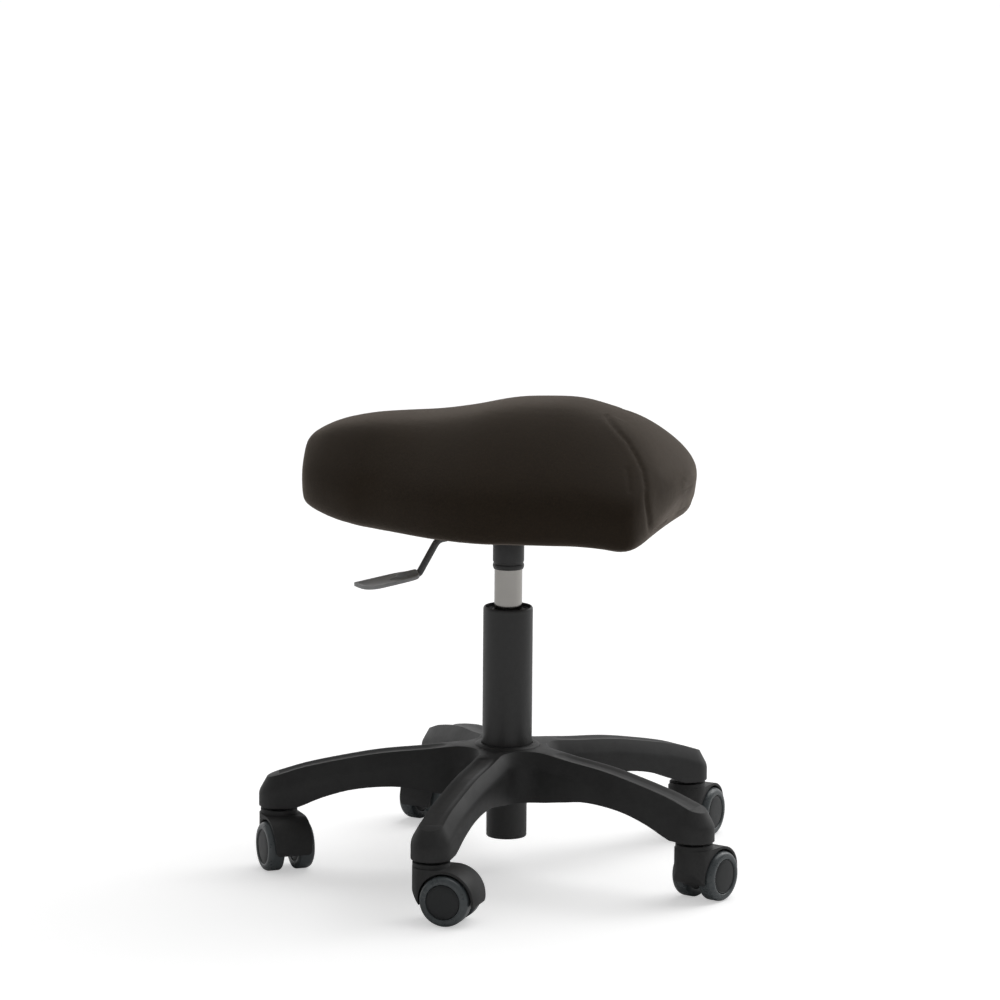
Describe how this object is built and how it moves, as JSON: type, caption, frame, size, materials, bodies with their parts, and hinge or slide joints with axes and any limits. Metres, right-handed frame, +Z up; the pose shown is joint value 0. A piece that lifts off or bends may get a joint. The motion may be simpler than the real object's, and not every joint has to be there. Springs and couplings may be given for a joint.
{
  "type": "saddle stool",
  "caption": "Low saddle stool: domed fabric saddle seat on a gas lift with a paddle lever, over a star base on hooded twin-wheel castors.",
  "frame": {"origin": "on the floor, on the axis of the column, which the stool swivels about", "axes": "+Z up; the picture's camera looks along +Y, with +X to its right"},
  "size_m": [0.4804, 0.4919, 0.4815],
  "materials": {
    "black_nylon": "satin moulded nylon, black",
    "black_steel": "satin black powder coat",
    "dark_plastic": "smooth dark plastic",
    "grey_tread": "soft grey tread, slightly shiny",
    "grey_plastic": "fine-grained dark grey plastic",
    "zinc_steel": "zinc plated steel",
    "chrome": "polished, slightly brushed chrome",
    "brass": "plain brass",
    "rubber": "black rubber",
    "plywood": "birch plywood",
    "seat_fabric": "very dark brown-black woven seat cover"
  },
  "bodies": {
    "base": {"star_base": "black_nylon", "outer_column": "black_steel", "guide_bush": "dark_plastic", "lower_race": "zinc_steel", "bearing_cage": "brass", "castor_a_stem": "zinc_steel", "castor_b_stem": "zinc_steel", "castor_c_stem": "zinc_steel", "castor_d_stem": "zinc_steel", "castor_e_stem": "zinc_steel"},
    "lift_rod": {"piston_rod": "chrome", "piston": "zinc_steel", "upper_race": "zinc_steel", "rubber_bumper": "rubber", "rod_clip": "zinc_steel"},
    "seat": {"gas_cylinder": "chrome", "cylinder_guide": "brass", "cone_socket": "dark_plastic", "seat_plate": "black_steel", "lever_pivot_pin": "zinc_steel", "seat_board": "plywood", "seat_cushion": "seat_fabric", "seat_screw_1": "zinc_steel", "seat_screw_2": "zinc_steel", "seat_screw_3": "zinc_steel", "seat_screw_4": "zinc_steel"},
    "button": {"release_button": "zinc_steel"},
    "lever": {"release_lever": "black_steel", "lever_paddle": "grey_plastic"},
    "castor_a": {"castor_a_housing": "black_nylon", "castor_a_axle": "zinc_steel"},
    "castor_a_left": {"castor_a_left_wheel": "dark_plastic", "castor_a_left_tread": "grey_tread"},
    "castor_a_right": {"castor_a_right_wheel": "dark_plastic", "castor_a_right_tread": "grey_tread"},
    "castor_b": {"castor_b_housing": "black_nylon", "castor_b_axle": "zinc_steel"},
    "castor_b_left": {"castor_b_left_wheel": "dark_plastic", "castor_b_left_tread": "grey_tread"},
    "castor_b_right": {"castor_b_right_wheel": "dark_plastic", "castor_b_right_tread": "grey_tread"},
    "castor_c": {"castor_c_housing": "black_nylon", "castor_c_axle": "zinc_steel"},
    "castor_c_left": {"castor_c_left_wheel": "dark_plastic", "castor_c_left_tread": "grey_tread"},
    "castor_c_right": {"castor_c_right_wheel": "dark_plastic", "castor_c_right_tread": "grey_tread"},
    "castor_d": {"castor_d_housing": "black_nylon", "castor_d_axle": "zinc_steel"},
    "castor_d_left": {"castor_d_left_wheel": "dark_plastic", "castor_d_left_tread": "grey_tread"},
    "castor_d_right": {"castor_d_right_wheel": "dark_plastic", "castor_d_right_tread": "grey_tread"},
    "castor_e": {"castor_e_housing": "black_nylon", "castor_e_axle": "zinc_steel"},
    "castor_e_left": {"castor_e_left_wheel": "dark_plastic", "castor_e_left_tread": "grey_tread"},
    "castor_e_right": {"castor_e_right_wheel": "dark_plastic", "castor_e_right_tread": "grey_tread"}
  },
  "joints": [
    {"name": "seat_swivel", "type": "hinge", "parent": "base", "child": "lift_rod", "pos_m": [0, 0, 0.05], "axis": [0, 0, 1], "continuous": true},
    {"name": "seat_height", "type": "slide", "parent": "lift_rod", "child": "seat", "axis": [0, 0, 1], "range_m": [0, 0.13]},
    {"name": "lever_pull", "type": "hinge", "parent": "seat", "child": "lever", "pos_m": [-0.02252, -0.013, 0.3485], "axis": [-0.5, 0.866, 0], "range_deg": [0, 5], "stiffness_Nm_per_rad": 0.5},
    {"name": "button_press", "type": "slide", "parent": "seat", "child": "button", "axis": [0, 0, -1], "range_m": [0, 0.0025], "stiffness_N_per_m": 300},
    {"name": "castor_a_swivel", "type": "hinge", "parent": "base", "child": "castor_a", "pos_m": [-0.22999, 0.00161, 0.05], "axis": [0, 0, 1], "continuous": true},
    {"name": "castor_a_left_roll", "type": "hinge", "parent": "castor_a", "child": "castor_a_left", "pos_m": [-0.22283, -0.01707, 0.025], "axis": [0.9336, 0.3584, 0], "continuous": true},
    {"name": "castor_a_right_roll", "type": "hinge", "parent": "castor_a", "child": "castor_a_right", "pos_m": [-0.22283, -0.01707, 0.025], "axis": [0.9336, 0.3584, 0], "continuous": true},
    {"name": "castor_b_swivel", "type": "hinge", "parent": "base", "child": "castor_b", "pos_m": [-0.0726, -0.21824, 0.05], "axis": [0, 0, 1], "continuous": true},
    {"name": "castor_b_left_roll", "type": "hinge", "parent": "castor_b", "child": "castor_b_left", "pos_m": [-0.05366, -0.22465, 0.025], "axis": [0.3206, 0.9472, 0], "continuous": true},
    {"name": "castor_b_right_roll", "type": "hinge", "parent": "castor_b", "child": "castor_b_right", "pos_m": [-0.05366, -0.22465, 0.025], "axis": [0.3206, 0.9472, 0], "continuous": true},
    {"name": "castor_c_swivel", "type": "hinge", "parent": "base", "child": "castor_c", "pos_m": [0.18513, -0.13649, 0.05], "axis": [0, 0, 1], "continuous": true},
    {"name": "castor_c_left_roll", "type": "hinge", "parent": "castor_c", "child": "castor_c_left", "pos_m": [0.19688, -0.12031, 0.025], "axis": [-0.809, 0.5878, 0], "continuous": true},
    {"name": "castor_c_right_roll", "type": "hinge", "parent": "castor_c", "child": "castor_c_right", "pos_m": [0.19688, -0.12031, 0.025], "axis": [-0.809, 0.5878, 0], "continuous": true},
    {"name": "castor_d_swivel", "type": "hinge", "parent": "base", "child": "castor_d", "pos_m": [0.18701, 0.13389, 0.05], "axis": [0, 0, 1], "continuous": true},
    {"name": "castor_d_left_roll", "type": "hinge", "parent": "castor_d", "child": "castor_d_left", "pos_m": [0.19609, 0.15171, 0.025], "axis": [-0.891, 0.454, 0], "continuous": true},
    {"name": "castor_d_right_roll", "type": "hinge", "parent": "castor_d", "child": "castor_d_right", "pos_m": [0.19609, 0.15171, 0.025], "axis": [-0.891, 0.454, 0], "continuous": true},
    {"name": "castor_e_swivel", "type": "hinge", "parent": "base", "child": "castor_e", "pos_m": [-0.06954, 0.21923, 0.05], "axis": [0, 0, 1], "continuous": true},
    {"name": "castor_e_left_roll", "type": "hinge", "parent": "castor_e", "child": "castor_e_left", "pos_m": [-0.08014, 0.20227, 0.025], "axis": [0.848, -0.5299, 0], "continuous": true},
    {"name": "castor_e_right_roll", "type": "hinge", "parent": "castor_e", "child": "castor_e_right", "pos_m": [-0.08014, 0.20227, 0.025], "axis": [0.848, -0.5299, 0], "continuous": true}
  ],
  "couplings": [
    {"joint": "button_press", "follows": "lever_pull", "m_per_rad": 0.0285}
  ]
}
